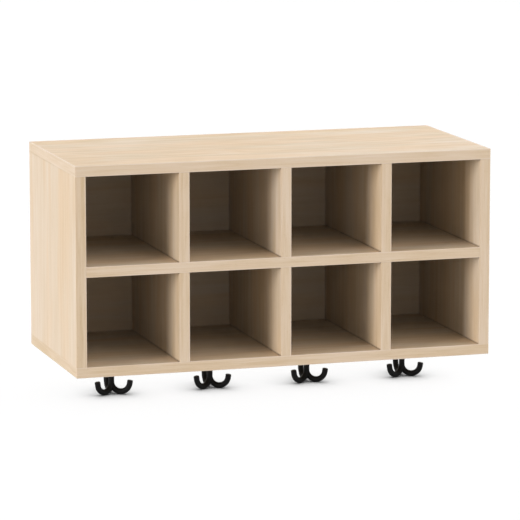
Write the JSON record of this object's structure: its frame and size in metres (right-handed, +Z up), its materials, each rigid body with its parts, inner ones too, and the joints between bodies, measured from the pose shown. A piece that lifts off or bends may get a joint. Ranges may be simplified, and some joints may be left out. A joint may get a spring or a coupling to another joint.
{
  "type": "wall-mounted coat shelf",
  "caption": "Wall-hung open case of small compartments in light wood, with black swivelling triple coat hooks under its bottom board and wall-screw holes in its back board.",
  "frame": {"origin": "centre of the case's rear face, on the wall plane, at the middle of the case's width and height", "axes": "+X along the width to the right, +Y into the wall, +Z up; the open front faces -Y"},
  "size_m": [0.738, 0.323, 0.4237],
  "materials": {
    "maple_board": "satin laminate with a light maple grain",
    "maple_edge_band": "satin edge band with a light maple grain",
    "beech_dowel": "raw beech",
    "black_hook": "black powder coat",
    "zinc_steel": "zinc plated",
    "nylon_washer": "natural nylon"
  },
  "bodies": {
    "case": {"back_panel": "maple_board", "back_screws": "zinc_steel", "bottom_end_bands": "maple_edge_band", "bottom_front_band": "maple_edge_band", "bottom_panel": "maple_board", "dowels": "beech_dowel", "hook_base_1": "black_hook", "hook_base_2": "black_hook", "hook_base_3": "black_hook", "hook_base_4": "black_hook", "hook_base_screws": "zinc_steel", "left_side_band": "maple_edge_band", "left_side_panel": "maple_board", "lower_divider_1": "maple_board", "lower_divider_2": "maple_board", "lower_divider_3": "maple_board", "lower_divider_band_1": "maple_edge_band", "lower_divider_band_2": "maple_edge_band", "lower_divider_band_3": "maple_edge_band", "middle_shelf": "maple_board", "right_side_band": "maple_edge_band", "right_side_panel": "maple_board", "shelf_band": "maple_edge_band", "through_dowels": "beech_dowel", "top_end_bands": "maple_edge_band", "top_front_band": "maple_edge_band", "top_panel": "maple_board", "upper_divider_1": "maple_board", "upper_divider_2": "maple_board", "upper_divider_3": "maple_board", "upper_divider_band_1": "maple_edge_band", "upper_divider_band_2": "maple_edge_band", "upper_divider_band_3": "maple_edge_band"},
    "hook_1": {"triple_hook_1": "black_hook", "pivot_bolt_1": "zinc_steel", "thrust_washer_1": "nylon_washer"},
    "hook_2": {"triple_hook_2": "black_hook", "pivot_bolt_2": "zinc_steel", "thrust_washer_2": "nylon_washer"},
    "hook_3": {"triple_hook_3": "black_hook", "pivot_bolt_3": "zinc_steel", "thrust_washer_3": "nylon_washer"},
    "hook_4": {"triple_hook_4": "black_hook", "pivot_bolt_4": "zinc_steel", "thrust_washer_4": "nylon_washer"}
  },
  "joints": [
    {"name": "hook_1_swivel", "type": "hinge", "parent": "case", "child": "hook_1", "pos_m": [-0.2665, -0.1615, -0.18], "axis": [0, 0, 1], "continuous": true},
    {"name": "hook_2_swivel", "type": "hinge", "parent": "case", "child": "hook_2", "pos_m": [-0.08883, -0.1615, -0.18], "axis": [0, 0, 1], "continuous": true},
    {"name": "hook_3_swivel", "type": "hinge", "parent": "case", "child": "hook_3", "pos_m": [0.08883, -0.1615, -0.18], "axis": [0, 0, 1], "continuous": true},
    {"name": "hook_4_swivel", "type": "hinge", "parent": "case", "child": "hook_4", "pos_m": [0.2665, -0.1615, -0.18], "axis": [0, 0, 1], "continuous": true}
  ]
}
